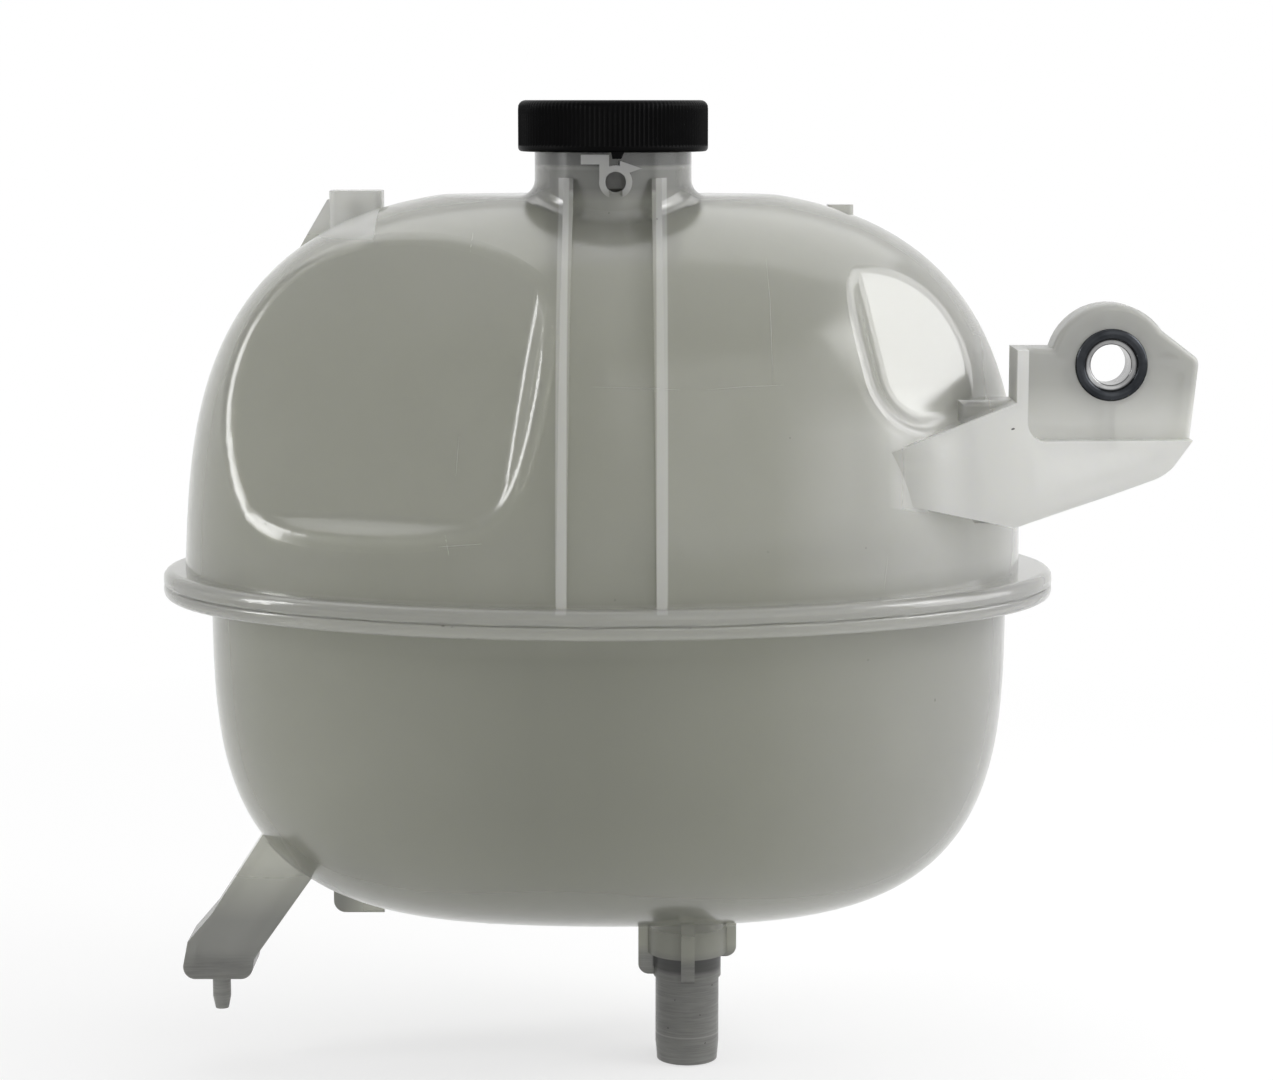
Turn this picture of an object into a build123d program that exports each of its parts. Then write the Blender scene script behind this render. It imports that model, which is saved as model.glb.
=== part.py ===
"""Coolant expansion tank: two welded mouldings, a bushed arm, a leg, a hose outlet and a valved screw cap."""

import os
from math import cos, radians, sin, sqrt

from build123d import *

# Frame: the arm bush sets the datum, with its axis along Y and its rear seat at Y 0.
# Every place below is measured from the neck axis (x), the flange centre line (y) and the weld plane (z).
tank_x = -154.0  # neck axis, from the bush axis
tank_y = 32.0  # flange centre line, behind the bush's rear seat
weld_z = -74.0  # weld plane, from the bush axis

# Shell forms: arches of oval slices
wall = 3.0
slice_shares = (0.0, 0.3, 0.6, 0.8, 0.92, 0.98)
crown_round = 26.0  # where the last slice meets the arched sides
dome_rise = 127.7
dome_left = 139.4  # reach at the weld plane
dome_right = 131.6
dome_depth = 88.0  # half depth at the weld plane
dome_left_draft = 0.043
dome_powers = (3.12, 3.0, 2.2)  # of the arches to the left, to the right and in depth
bowl_drop = 114.5
bowl_step = (8.6, 4.1, 4.0)  # set in from the dome: left, right and in depth
bowl_left = dome_left - bowl_step[0]
bowl_right = dome_right - bowl_step[1]
bowl_depth = dome_depth - bowl_step[2]
bowl_left_draft = 0.0
bowl_powers = (3.45, 3.48, 2.0)

# Weld flange
flange_lip = (6.8, 10.7, 6.0)  # set out from the dome: left, right and in depth
flange_left = dome_left + flange_lip[0]
flange_right = dome_right + flange_lip[1]
flange_depth = dome_depth + flange_lip[2]
flange_up = 5.0
flange_down = 4.5
flange_round = 2.8
weld_round = 0.9

# Clearance recesses in the dome's front, each set by the corner of its floor
recess_reach = 140.0
recess_height = 50.0
recess_draft = 8.0
recess_corner = 18.0
recess_floor_round = 8.0
recess_rim_round = 9.0
left_recess_at = (-29.4, -88.3, 24.0)
left_recess_turn = -23.5
left_recess_lean = 22.2
right_recess_at = (82.8, -59.7, 53.3)
right_recess_turn = 31.8
right_recess_lean = 24.3

# Filler neck, with a skirt that dips into the tank and seals on the cap's insert
neck_y = -13.0
neck_radius = 24.8
neck_top = 148.0
neck_bore = 21.5
neck_foot_round = 5.0
seal_bore = 18.5
seal_bore_top = 125.0
bore_taper = 2.0
skirt_end = 104.0
skirt_wall = 3.3

# Vent on the neck's front, with the cap's stop and ramp above it
vent_x = 1.0
vent_z = 130.0
vent_bore = 3.2
vent_rim = 5.1
vent_gap = 4.2
vent_reach = 4.0
vent_root = 2.5
stop_left = -9.7
stop_right = -1.0
stop_top = 138.4
stop_bar = 3.0
ramp_left = 2.3
ramp_right = 9.0
ramp_top = 136.5
ramp_end = 134.2
ramp_low = 131.4

# Front ribs
rib_x = 15.0
rib_width = 3.0
rib_proud = 3.0
rib_top = 131.0
rib_splay = 0.6

# Fixing arm: a flat panel round the bush, framed by a ridge that runs out of the dome, open at the back
bush_x = -tank_x
bush_z = -weld_z
arm_back = -tank_y
arm_depth = 13.0
arm_wall = 3.5
arm_skin = 3.5
arm_left = 124.0
arm_top = 79.2
arm_tip = (181.4, 75.5)
arm_heel = (171.4, 40.4)
arm_heel_side = (179.0, 51.0)
arm_keel = ((124.0, 24.4), (154.0, 34.2))
arm_shoulder = (169.0, 85.0)
arm_root = 17.0
arm_heel_round = 14.0
arm_tip_round = 3.5
arm_edge_round = 2.0
ridge_low = 35.0
ridge_high = 46.0
ridge_wall_foot = 63.0
ridge_top = 51.0
ridge_front = ((78.0, -63.0), (100.0, -59.0), (121.5, -54.5), (152.0, -51.0), (184.0, -49.5))
ridge_left = ridge_front[0][0]
ridge_inner_round = 6.0
ridge_pocket = ((130.0, 31.0), (154.0, 38.5), (167.0, 43.0), (172.0, 48.0), (130.0, 48.0))
ridge_pocket_depth = 15.0
boss_radius = 18.8
bush_boss = 13.0
bush_radius = 9.0
bush_fit = 0.05
bush_flange_radius = 11.2
bush_flange = 1.6
bush_bore = 6.25
bush_mouth = 8.0
bush_mouth_depth = 2.2

# Inlet boss, gusset and nipple at the top left, and the small tab at the top right
inlet_x = -83.5
inlet_y = 13.0
inlet_size = (17.0, 14.0)
inlet_round = 2.5
inlet_top = 126.0
inlet_drop = 30.0
gusset_outline = (
    (-90.0, 124.0),
    (-93.0, 123.0),
    (-101.0, 109.5),
    (-105.0, 102.0),
    (-105.0, 92.0),
    (-90.0, 92.0),
)
gusset_thick = 3.0
nipple_z = 120.0
nipple_radius = 4.0
nipple_tip = 3.4
nipple_end = 44.0
nipple_lead = 4.0
nipple_bore = 2.2
bleed_bore = 1.8
tab_at = (73.2, 8.0)
tab_size = (8.4, 8.0)
tab_round = 1.5
tab_top = 121.6
tab_drop = 8.0

# Outlet spigot with its collar and gussets
spigot_x = 24.2
spigot_radius = 10.5
spigot_bore = 8.0
spigot_end = -161.0
spigot_tip = 10.0
spigot_lead = 6.0
collar_radius = 13.2
collar_end = -124.5
hose_stop = -132.6
hose_stop_radius = 11.2
outlet_root = -108.0
fin_reach = 16.2
fin_thick = 4.4
fin_end = -132.0
short_fin_end = -126.0
fin_round = 3.5

# Leg, foot and peg
leg_y = 0.0
leg_depth = 20.0
leg_skin = 3.0
leg_wall = 3.0
leg_outline = (
    (-113.0, -80.0),
    (-132.0, -109.5),
    (-140.2, -119.0),
    (-141.8, -127.0),
    (-141.8, -131.6),
    (-119.5, -131.6),
    (-118.4, -124.8),
    (-98.0, -96.0),
    (-90.0, -80.0),
)
leg_round = 4.0
foot_z = leg_outline[4][1]
peg_x = -130.5
peg_radius = 3.0
peg_length = 12.4
peg_tip = 2.2
peg_lead = 4.0

# Keel tab and gate pad under the bowl
keel_outline = ((-94.5, -86.0), (-94.5, -116.0), (-77.5, -116.0), (-77.5, -96.0))
keel_thick = 3.0
keel_y = 18.0
keel_round = 4.0
pad_x = -39.0
pad_radius = 8.0
pad_end = -113.4

# Screw cap
cap_radius = 30.0
cap_bore = 27.0
cap_height = 16.0
cap_crown = 3.0
cap_top_round = 2.4
cap_low_round = 1.2
keeper_bead = 1.5
keeper_thick = 0.9
lug_left = -0.5
lug_right = 3.9
lug_drop = 1.9
lug_slope = 1.2
lug_inset = 0.5

# Insert, gaskets and valves under the cap
turn_gap = 0.2
gasket_thick = 1.6
gasket_inner = 21.8
gasket_outer = 24.6
insert_flange = 2.2
insert_flange_radius = 26.0
insert_fit = 0.5
insert_low_fit = 0.4
insert_taper_gap = 0.8
insert_end = 107.0
insert_floor = 3.0
insert_bore = 14.2
seat_radius = 9.0
seat_lip = 1.2
seat_rise = 1.0
port_width = 7.0
port_low = 136.0
port_height = 5.0
port_count = 4
retainer_z = 132.0
retainer_thick = 2.4
retainer_ledge = 2.3
retainer_fit = 0.1
retainer_eye = 3.5
retainer_hole = 2.0
retainer_hole_pitch = 11.0
retainer_hole_count = 6
ring_z = 115.0
ring_wire = 1.5
ring_fit = 0.1
ring_slack = 0.05
groove_slack = 0.15
seal_thick = 1.5
seal_radius = 10.6
seal_eye = 3.4
plate_thick = 2.0
plate_fit = 0.3
plate_eye = 2.0
plate_hole = 1.4
plate_hole_pitch = 12.1
plate_hole_count = 6
vacuum_head = 5.2
vacuum_head_thick = 1.6
vacuum_stem = 1.3
vacuum_top = 121.5
clip_z = 120.0
clip_radius = 2.9
clip_thick = 0.8
clip_fit = 0.05
spring_radius = 7.6
spring_wire = 0.8
spring_turns = 4.5
small_spring_radius = 2.2
small_spring_wire = 0.2
small_spring_turns = 4.0

# Places that follow from the sizes above
panel_front = arm_back - arm_depth
gasket_top = neck_top + gasket_thick
flange_top = gasket_top + insert_flange
crown_under = flange_top + turn_gap
cap_top = crown_under + cap_crown
cap_low = cap_top - cap_height
insert_radius = neck_bore - insert_fit
insert_low_radius = seal_bore - insert_low_fit
insert_taper_z = seal_bore_top + insert_taper_gap
floor_top = insert_end + insert_floor
seat_z = floor_top + seat_rise
plate_z = seat_z + seal_thick
plate_top = plate_z + plate_thick
retainer_radius = insert_bore + retainer_ledge

tank = Plane(origin=(tank_x, tank_y, weld_z))


def at(x, y, z):
    """Point of the frame at a place measured from the neck axis, the flange centre line and the weld plane."""
    return tank.from_local_coords((x, y, z))


def facing_front(y):
    """Upright plane at a depth, looking to the front, with X and Z as its axes."""
    return Plane(origin=at(0, y, 0), x_dir=(1, 0, 0), z_dir=(0, -1, 0))


def level(z, y=0.0):
    """Level plane at a height, with its origin on the neck axis's side at a depth."""
    return Plane(origin=at(0, y, z))


neck_axis = Axis(at(0, neck_y, 0), (0, 0, 1))
neck_section = facing_front(neck_y)


def arch(share, power):
    """Share of the full reach that is left at a share of the height."""
    return (1 - share**power) ** (1 / power)


def arched_form(rise, left, right, depth, draft, powers, inset, direction):
    """Loft of oval slices from the weld plane, inset all round for a cavity."""
    with BuildPart() as form:
        for share in slice_shares:
            height = share * (rise - inset)
            left_arch, right_arch, depth_arch = [arch(share, power) for power in powers]
            reach_left = (left - inset - draft * height) * left_arch
            reach_right = (right - inset) * right_arch
            half_depth = (depth - inset) * depth_arch
            with BuildSketch(level(direction * height)):
                with Locations(((reach_right - reach_left) / 2, 0)):
                    Ellipse((reach_left + reach_right) / 2, half_depth)
        loft()
        crown = form.faces().sort_by(Axis.Z)[-1 if direction > 0 else 0]
        fillet(crown.edges(), crown_round)
    return form.part


def dome_form(inset):
    """The dome's outer form, or its cavity where an inset is given."""
    reach = (dome_left, dome_right, dome_depth, dome_left_draft)
    return arched_form(dome_rise, *reach, dome_powers, inset, 1)


def bowl_form(inset):
    """The bowl's outer form, or its cavity where an inset is given."""
    reach = (bowl_left, bowl_right, bowl_depth, bowl_left_draft)
    return arched_form(bowl_drop, *reach, bowl_powers, inset, -1)


def recess_form(corner_at, turn, lean, side, grow):
    """Block that clears a recess: its floor turns and leans, and side says which way it runs from its corner."""
    flat = cos(radians(lean))
    out = (sin(radians(turn)) * flat, -cos(radians(turn)) * flat, sin(radians(lean)))
    along = (cos(radians(turn)), sin(radians(turn)), 0)
    floor = Plane(origin=at(*corner_at), x_dir=along, z_dir=out).offset(-grow)
    run = Align.MIN if side > 0 else Align.MAX
    corner = (-side * grow, -grow)
    with BuildPart() as block:
        with BuildSketch(floor) as outline:
            with Locations(corner):
                Rectangle(recess_reach, recess_reach, align=(run, Align.MIN))
            fillet(outline.vertices().sort_by_distance(corner)[0], recess_corner + grow)
        extrude(amount=recess_height + grow, taper=-recess_draft)
        fillet(block.faces().sort_by(Axis(floor.origin, floor.z_dir))[0].edges(), recess_floor_round)
    return block.part


def flange_plate(thickness):
    """One half of the weld flange, up from the weld plane, or down where the thickness is negative."""
    with BuildPart() as plate:
        with BuildSketch(tank):
            with Locations(((flange_right - flange_left) / 2, 0)):
                Ellipse((flange_left + flange_right) / 2, flange_depth)
        extrude(amount=thickness)
        outer, inner = (-1, 0) if thickness > 0 else (0, -1)
        fillet(plate.faces().sort_by(Axis.Z)[outer].edges(), flange_round)
        fillet(plate.faces().sort_by(Axis.Z)[inner].edges(), weld_round)
    return plate.part


def spring_form(radius, wire, low, high, turns):
    """Open coil between two seats on the neck axis."""
    height = high - low - 2 * wire
    with BuildPart() as coil:
        with BuildLine() as path:
            Helix(pitch=height / turns, height=height, radius=radius, center=at(0, neck_y, low + wire))
        with BuildSketch(path.line ^ 0):
            Circle(wire)
        sweep(is_frenet=True)
    return coil.part


# Cavity of the dome, which keeps the wall behind both recesses
left_recess = (left_recess_at, left_recess_turn, left_recess_lean, -1)
right_recess = (right_recess_at, right_recess_turn, right_recess_lean, 1)
inner_recesses = [recess_form(*recess, wall) for recess in (left_recess, right_recess)]
dome_hollow = dome_form(wall)
with BuildPart() as dome_cavity:
    add(dome_hollow)
    for inner_recess in inner_recesses:
        add(inner_recess, mode=Mode.SUBTRACT)
        inner_rim = [edge for edge in dome_cavity.edges(Select.LAST) if not edge.is_interior]
        fillet(inner_rim, recess_rim_round - wall)

# Ridge of the arm: its front outline, cut to the curve that runs out of the dome's corner
with BuildPart() as arm_ridge:
    with BuildSketch(facing_front(arm_back)) as ridge_face:
        Polygon(
            (ridge_left, ridge_low),
            *arm_keel,
            arm_heel,
            arm_heel_side,
            (arm_left + arm_wall, ridge_top),
            (arm_left + arm_wall, arm_top),
            (arm_left, arm_top),
            (arm_left, ridge_wall_foot),
            (ridge_left, ridge_high),
            align=None,
        )
        fillet(ridge_face.vertices().sort_by_distance(arm_heel)[0], arm_heel_round)
        fillet(ridge_face.vertices().sort_by_distance((arm_left + arm_wall, ridge_top))[0], ridge_inner_round)
    extrude(amount=arm_back - ridge_front[0][1])
    with BuildSketch(tank):
        with BuildLine():
            Spline(*ridge_front)
            Polyline(
                ridge_front[-1],
                (ridge_front[-1][0], arm_back),
                (ridge_front[0][0], arm_back),
                ridge_front[0],
            )
        make_face()
    extrude(amount=arm_top, mode=Mode.INTERSECT)

# Whole arm, with pockets in its back that leave a skin, an edge wall, two webs and the bush's boss
with BuildPart() as arm:
    with BuildSketch(facing_front(arm_back)) as panel_face:
        Polygon(
            (arm_left - arm_root, arm_keel[0][1]),
            *arm_keel,
            arm_heel,
            arm_heel_side,
            arm_tip,
            arm_shoulder,
            (bush_x, arm_top),
            (arm_left, arm_top),
            (arm_left, ridge_wall_foot),
            (arm_left - arm_root, ridge_wall_foot),
            align=None,
        )
        fillet(panel_face.vertices().sort_by_distance(arm_heel)[0], arm_heel_round)
        fillet(panel_face.vertices().sort_by_distance(arm_tip)[0], arm_tip_round)
        with Locations((bush_x, bush_z)):
            Circle(boss_radius)
    extrude(amount=arm_depth)
    fillet(arm.faces().sort_by(Axis.Y)[0].edges(), arm_edge_round)
    add(arm_ridge.part)
    with BuildSketch(facing_front(arm_back)):
        add(panel_face.sketch_local)
        offset(amount=-arm_wall, mode=Mode.REPLACE)
        with Locations((bush_x, bush_z)):
            Circle(bush_boss, mode=Mode.SUBTRACT)
            Rectangle(arm_wall, 4 * boss_radius, mode=Mode.SUBTRACT)
            Rectangle(4 * boss_radius, arm_wall, mode=Mode.SUBTRACT)
    extrude(amount=arm_depth - arm_skin, mode=Mode.SUBTRACT)
    with BuildSketch(facing_front(arm_back)):
        Polygon(*ridge_pocket, align=None)
    extrude(amount=ridge_pocket_depth, mode=Mode.SUBTRACT)
    with BuildSketch(facing_front(arm_back)):
        with Locations((bush_x, bush_z)):
            Circle(bush_radius + bush_fit)
    extrude(amount=arm_depth, mode=Mode.SUBTRACT)

# Outline of a front rib: up the dome's front at an even height, then on to the neck
rib_foot = flange_up / 2
rib_heights = [rib_foot + share * (dome_rise - rib_foot) for share in (0.0, 0.2, 0.4, 0.6, 0.78, 0.9)]
rib_edge = [
    (-(dome_depth + rib_proud) * arch(height / (dome_rise + rib_proud), dome_powers[2]), height)
    for height in rib_heights
]
neck_front = neck_y - sqrt(neck_radius**2 - rib_x**2)
rib_edge.append((neck_front - rib_proud, rib_top))

outer_recesses = [recess_form(*recess, 0) for recess in (left_recess, right_recess)]
dome_outside = dome_form(0)
upper_flange = flange_plate(flange_up)
lower_flange = flange_plate(-flange_down)
bowl_outside = bowl_form(0)
bowl_hollow = bowl_form(wall)
vent_face = facing_front(neck_y - neck_radius - vent_reach)

# Upper shell: dome, neck, ribs, arm, inlet and the vent's fittings, in one moulding
with BuildPart() as upper_shell:
    add(dome_outside)
    for outer_recess in outer_recesses:
        add(outer_recess, mode=Mode.SUBTRACT)
        rim = [edge for edge in upper_shell.edges(Select.LAST) if not edge.is_interior]
        fillet(rim, recess_rim_round)
    with BuildSketch(level(skirt_end, neck_y)):
        Circle(neck_radius)
    extrude(amount=neck_top - skirt_end)
    neck_wall = upper_shell.faces().filter_by(GeomType.CYLINDER).sort_by(Axis.Z)[-1]
    neck_edges = neck_wall.edges().filter_by(GeomType.LINE, reverse=True)
    fillet(neck_edges.sort_by(Axis.Z)[:-1], neck_foot_round)
    add(upper_flange)
    add(arm.part)
    for side in (-1, 1):
        lean = (cos(radians(rib_splay)), 0, side * sin(radians(rib_splay)))
        with BuildSketch(Plane(origin=at(side * rib_x, 0, 0), x_dir=(0, 1, 0), z_dir=lean)):
            with BuildLine():
                Spline(*rib_edge)
                Polyline(rib_edge[-1], (neck_y, rib_top), (neck_y, rib_foot), rib_edge[0])
            make_face()
        extrude(amount=rib_width / 2, both=True)
    with BuildSketch(vent_face):
        with Locations((vent_x, vent_z)):
            Circle(vent_rim)
        Polygon(
            (stop_right, vent_z),
            (stop_right, stop_top),
            (stop_left, stop_top),
            (stop_left, stop_top - stop_bar),
            (stop_right - stop_bar, stop_top - stop_bar),
            (stop_right - stop_bar, vent_z),
            align=None,
        )
        Polygon(
            (ramp_left, vent_z),
            (ramp_left, ramp_top),
            (ramp_right, ramp_end),
            (vent_x, ramp_low),
            align=None,
        )
        with Locations((vent_x, vent_z)):
            Circle(vent_bore, mode=Mode.SUBTRACT)
            Rectangle(vent_gap, 2 * vent_rim, align=(Align.CENTER, Align.MAX), mode=Mode.SUBTRACT)
    extrude(amount=-vent_reach - vent_root)
    with BuildSketch(level(inlet_top)):
        with Locations((inlet_x, inlet_y)):
            RectangleRounded(*inlet_size, inlet_round)
    extrude(amount=-inlet_drop)
    with BuildSketch(facing_front(inlet_y)):
        Polygon(*gusset_outline, align=None)
    extrude(amount=gusset_thick / 2, both=True)
    with BuildSketch(Plane(origin=at(inlet_x, inlet_y, nipple_z), x_dir=(0, 0, 1), z_dir=(1, 0, 0))):
        Polygon(
            (0, 0),
            (nipple_radius, 0),
            (nipple_radius, inlet_y - nipple_end + nipple_lead),
            (nipple_tip, inlet_y - nipple_end),
            (0, inlet_y - nipple_end),
            align=None,
        )
    revolve(axis=Axis(at(inlet_x, 0, nipple_z), (0, 1, 0)))
    with BuildSketch(level(tab_top)):
        with Locations(tab_at):
            RectangleRounded(*tab_size, tab_round)
    extrude(amount=-tab_drop)
    add(dome_cavity.part, mode=Mode.SUBTRACT)
    with BuildSketch(level(skirt_end, neck_y)):
        Circle(seal_bore + skirt_wall)
    extrude(amount=seal_bore_top + bore_taper - skirt_end)
    with BuildSketch(neck_section):
        Polygon(
            (0, neck_top),
            (neck_bore, neck_top),
            (neck_bore, seal_bore_top + bore_taper),
            (seal_bore, seal_bore_top),
            (seal_bore, skirt_end),
            (0, skirt_end),
            align=None,
        )
    revolve(axis=neck_axis, mode=Mode.SUBTRACT)
    with BuildSketch(vent_face):
        with Locations((vent_x, vent_z)):
            Circle(vent_bore)
    extrude(amount=seal_bore - neck_radius - vent_reach, mode=Mode.SUBTRACT)
    with BuildSketch(facing_front(nipple_end)):
        with Locations((inlet_x, nipple_z)):
            Circle(nipple_bore)
    extrude(amount=nipple_end - inlet_y + nipple_bore, mode=Mode.SUBTRACT)
    with BuildSketch(level(nipple_z)):
        with Locations((inlet_x, inlet_y)):
            Circle(bleed_bore)
    extrude(amount=-inlet_drop, mode=Mode.SUBTRACT)

# Lower shell: bowl, outlet, leg, keel tab and gate pad, in one moulding
with BuildPart() as lower_shell:
    add(bowl_outside)
    add(lower_flange)
    with BuildSketch(facing_front(0)):
        with Locations((spigot_x, 0)):
            Polygon(
                (0, outlet_root),
                (collar_radius, outlet_root),
                (collar_radius, collar_end),
                (hose_stop_radius, collar_end),
                (hose_stop_radius, hose_stop),
                (spigot_radius, hose_stop),
                (spigot_radius, spigot_end + spigot_lead),
                (spigot_tip, spigot_end),
                (0, spigot_end),
                align=None,
            )
    revolve(axis=Axis(at(spigot_x, 0, 0), (0, 0, 1)))
    for turn, end in ((0, short_fin_end), (90, fin_end), (180, fin_end), (270, fin_end)):
        along = (cos(radians(turn)), sin(radians(turn)), 0)
        across = (sin(radians(turn)), -cos(radians(turn)), 0)
        with BuildSketch(Plane(origin=at(spigot_x, 0, outlet_root), x_dir=along, z_dir=across)) as fin:
            Rectangle(fin_reach, outlet_root - end, align=(Align.MIN, Align.MAX))
            fillet(fin.vertices().sort_by_distance((fin_reach, end - outlet_root))[0], fin_round)
        extrude(amount=fin_thick / 2, both=True)
    with BuildSketch(facing_front(leg_y + leg_depth / 2)) as leg_face:
        Polygon(*leg_outline, align=None)
        fillet(leg_face.vertices().filter_by_position(Axis.Y, foot_z - 1, foot_z + 1), leg_round)
    extrude(amount=leg_depth)
    with BuildSketch(facing_front(leg_y + leg_depth / 2)):
        add(leg_face.sketch_local)
        offset(amount=-leg_wall, mode=Mode.REPLACE)
    extrude(amount=leg_depth - leg_skin, mode=Mode.SUBTRACT)
    add(bowl_outside)
    with BuildSketch(facing_front(leg_y)):
        with Locations((peg_x, 0)):
            Polygon(
                (0, foot_z + leg_wall),
                (peg_radius, foot_z + leg_wall),
                (peg_radius, foot_z - peg_length + peg_lead),
                (peg_tip, foot_z - peg_length),
                (0, foot_z - peg_length),
                align=None,
            )
    revolve(axis=Axis(at(peg_x, leg_y, 0), (0, 0, 1)))
    with BuildSketch(facing_front(keel_y)) as keel_face:
        Polygon(*keel_outline, align=None)
        fillet(keel_face.vertices().sort_by_distance(keel_outline[1])[0], keel_round)
    extrude(amount=keel_thick / 2, both=True)
    with BuildSketch(level(pad_end)):
        with Locations((pad_x, 0)):
            Circle(pad_radius)
    extrude(amount=outlet_root - pad_end)
    add(bowl_hollow, mode=Mode.SUBTRACT)
    with BuildSketch(level(spigot_end)):
        with Locations((spigot_x, 0)):
            Circle(spigot_bore)
    extrude(amount=outlet_root - spigot_end, mode=Mode.SUBTRACT)

# Flanged steel bush, pressed into the arm from the front
with BuildPart() as arm_bush:
    with BuildSketch(Plane(origin=at(bush_x, 0, bush_z), x_dir=(0, 0, 1), z_dir=(1, 0, 0))):
        Polygon(
            (bush_bore, -arm_back),
            (bush_radius, -arm_back),
            (bush_radius, -panel_front),
            (bush_flange_radius, -panel_front),
            (bush_flange_radius, -panel_front + bush_flange),
            (bush_mouth, -panel_front + bush_flange),
            (bush_bore, -panel_front + bush_flange - bush_mouth_depth),
            align=None,
        )
    revolve(axis=Axis(at(bush_x, 0, bush_z), (0, 1, 0)))

# Cap shell, with a bead inside that keeps the insert's flange and a lug under its skirt
with BuildPart() as cap_shell:
    with BuildSketch(neck_section) as cap_face:
        Polygon(
            (0, cap_top),
            (cap_radius, cap_top),
            (cap_radius, cap_low),
            (cap_bore, cap_low),
            (cap_bore, gasket_top - turn_gap - keeper_thick),
            (cap_bore - keeper_bead, gasket_top - turn_gap - keeper_thick),
            (cap_bore - keeper_bead, gasket_top - turn_gap),
            (cap_bore, gasket_top - turn_gap),
            (cap_bore, crown_under),
            (0, crown_under),
            align=None,
        )
        fillet(cap_face.vertices().sort_by_distance((cap_radius, cap_top))[0], cap_top_round)
        fillet(cap_face.vertices().sort_by_distance((cap_radius, cap_low))[0], cap_low_round)
    revolve(axis=neck_axis)
    with BuildSketch(facing_front(neck_y - cap_bore)):
        Polygon(
            (lug_left, cap_low + lug_drop),
            (lug_left, cap_low),
            (lug_left + lug_inset, cap_low - lug_drop),
            (lug_right - lug_slope, cap_low - lug_drop),
            (lug_right, cap_low),
            (lug_right, cap_low + lug_drop),
            align=None,
        )
    extrude(amount=cap_radius - cap_bore - lug_inset)

# Insert that hangs in the neck, with its valve seat, ring groove and vent ports
with BuildPart() as cap_insert:
    with BuildSketch(neck_section):
        Polygon(
            (retainer_radius, flange_top),
            (insert_flange_radius, flange_top),
            (insert_flange_radius, gasket_top),
            (insert_radius, gasket_top),
            (insert_radius, insert_taper_z + bore_taper),
            (insert_low_radius, insert_taper_z),
            (insert_low_radius, insert_end),
            (seat_radius, insert_end),
            (seat_radius, seat_z),
            (seat_radius + seat_lip, seat_z),
            (seat_radius + seat_lip, floor_top),
            (insert_bore, floor_top),
            (insert_bore, retainer_z),
            (retainer_radius, retainer_z),
            align=None,
        )
    revolve(axis=neck_axis)
    groove_bottom = seal_bore - ring_fit - 2 * ring_wire - ring_slack
    groove_half = ring_wire + groove_slack
    with BuildSketch(neck_section):
        with Locations((groove_bottom, ring_z)):
            Rectangle(neck_bore, 2 * groove_half, align=(Align.MIN, Align.CENTER))
    revolve(axis=neck_axis, mode=Mode.SUBTRACT)
    with BuildSketch(level(port_low, neck_y)):
        for turn in range(port_count):
            with Locations(Rotation(0, 0, turn * 360 / port_count)):
                Rectangle(neck_bore, port_width, align=(Align.MIN, Align.CENTER))
    extrude(amount=port_height, mode=Mode.SUBTRACT)

# Flat gasket between the insert's flange and the neck rim
with BuildPart() as neck_gasket:
    with BuildSketch(level(neck_top, neck_y)):
        Circle(gasket_outer)
        Circle(gasket_inner, mode=Mode.SUBTRACT)
    extrude(amount=gasket_thick)

# Ring that seals the insert in the neck's lower bore
with BuildPart() as insert_o_ring:
    with BuildSketch(neck_section):
        with Locations((seal_bore - ring_fit - ring_wire, ring_z)):
            Circle(ring_wire)
    revolve(axis=neck_axis)

# Pressure valve: seal disc, guided plate, spring and the retainer above
with BuildPart() as valve_seal:
    with BuildSketch(level(seat_z, neck_y)):
        Circle(seal_radius)
        Circle(seal_eye, mode=Mode.SUBTRACT)
    extrude(amount=seal_thick)

with BuildPart() as pressure_valve:
    with BuildSketch(level(plate_z, neck_y)):
        Circle(insert_bore - plate_fit)
        Circle(plate_eye, mode=Mode.SUBTRACT)
        with PolarLocations(plate_hole_pitch, plate_hole_count):
            Circle(plate_hole, mode=Mode.SUBTRACT)
    extrude(amount=plate_thick)

with BuildPart() as spring_retainer:
    with BuildSketch(level(retainer_z, neck_y)):
        Circle(retainer_radius - retainer_fit)
        Circle(retainer_eye, mode=Mode.SUBTRACT)
        with PolarLocations(retainer_hole_pitch, retainer_hole_count):
            Circle(retainer_hole, mode=Mode.SUBTRACT)
    extrude(amount=retainer_thick)

pressure_spring = spring_form(spring_radius, spring_wire, plate_top, retainer_z, spring_turns)

# Vacuum valve: a mushroom under the seal, with its spring and clip above the plate
with BuildPart() as vacuum_valve:
    with BuildSketch(neck_section):
        Polygon(
            (0, seat_z - vacuum_head_thick),
            (vacuum_head, seat_z - vacuum_head_thick),
            (vacuum_head, seat_z),
            (vacuum_stem, seat_z),
            (vacuum_stem, vacuum_top),
            (0, vacuum_top),
            align=None,
        )
    revolve(axis=neck_axis)

with BuildPart() as vacuum_clip:
    with BuildSketch(level(clip_z, neck_y)):
        Circle(clip_radius)
        Circle(vacuum_stem + clip_fit, mode=Mode.SUBTRACT)
    extrude(amount=clip_thick)

vacuum_spring = spring_form(small_spring_radius, small_spring_wire, plate_top, clip_z, small_spring_turns)

pieces = {
    "upper_shell": upper_shell.part,
    "lower_shell": lower_shell.part,
    "arm_bush": arm_bush.part,
    "cap_shell": cap_shell.part,
    "cap_insert": cap_insert.part,
    "neck_gasket": neck_gasket.part,
    "insert_o_ring": insert_o_ring.part,
    "valve_seal": valve_seal.part,
    "pressure_valve": pressure_valve.part,
    "spring_retainer": spring_retainer.part,
    "pressure_spring": pressure_spring,
    "vacuum_valve": vacuum_valve.part,
    "vacuum_clip": vacuum_clip.part,
    "vacuum_spring": vacuum_spring,
}

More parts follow.
